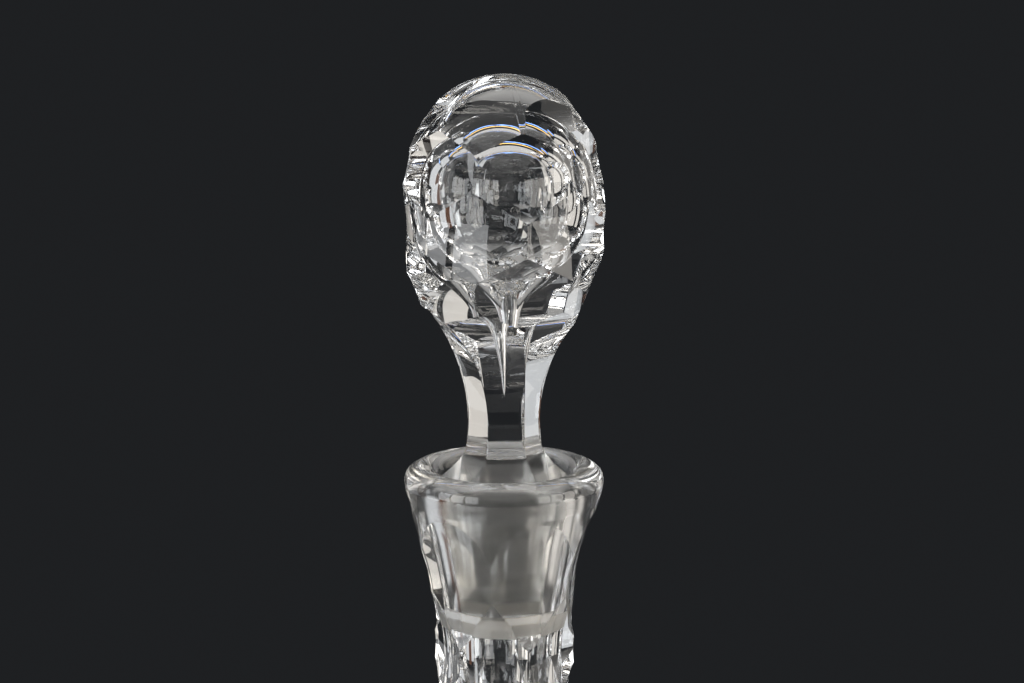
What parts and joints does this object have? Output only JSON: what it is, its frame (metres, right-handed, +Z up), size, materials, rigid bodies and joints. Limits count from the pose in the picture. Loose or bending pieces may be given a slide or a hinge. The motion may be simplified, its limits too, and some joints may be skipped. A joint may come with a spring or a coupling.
{
  "type": "decanter",
  "caption": "Cut-crystal wine decanter with a globe body, fluted honeycomb-cut neck and a faceted hollow stopper ground to fit its mouth.",
  "frame": {"origin": "centre of the foot, on the plane that the decanter stands on", "axes": "+Z up along the axis of the decanter; the pattern has the same rotation on every sixth of a turn"},
  "size_m": [0.1276, 0.1276, 0.3038],
  "materials": {
    "vessel_crystal": "clear polished lead crystal, wheel cut; fine-ground matt socket inside the neck",
    "stopper_crystal": "clear polished lead crystal, wheel cut, with a sealed air bubble; fine-ground matt plug"
  },
  "bodies": {
    "decanter": {"vessel": "vessel_crystal"},
    "stopper": {"stopper": "stopper_crystal"}
  },
  "joints": [
    {"name": "stopper_lift", "type": "slide", "parent": "decanter", "child": "stopper", "axis": [0, 0, 1], "range_m": [0, 0.06]}
  ]
}
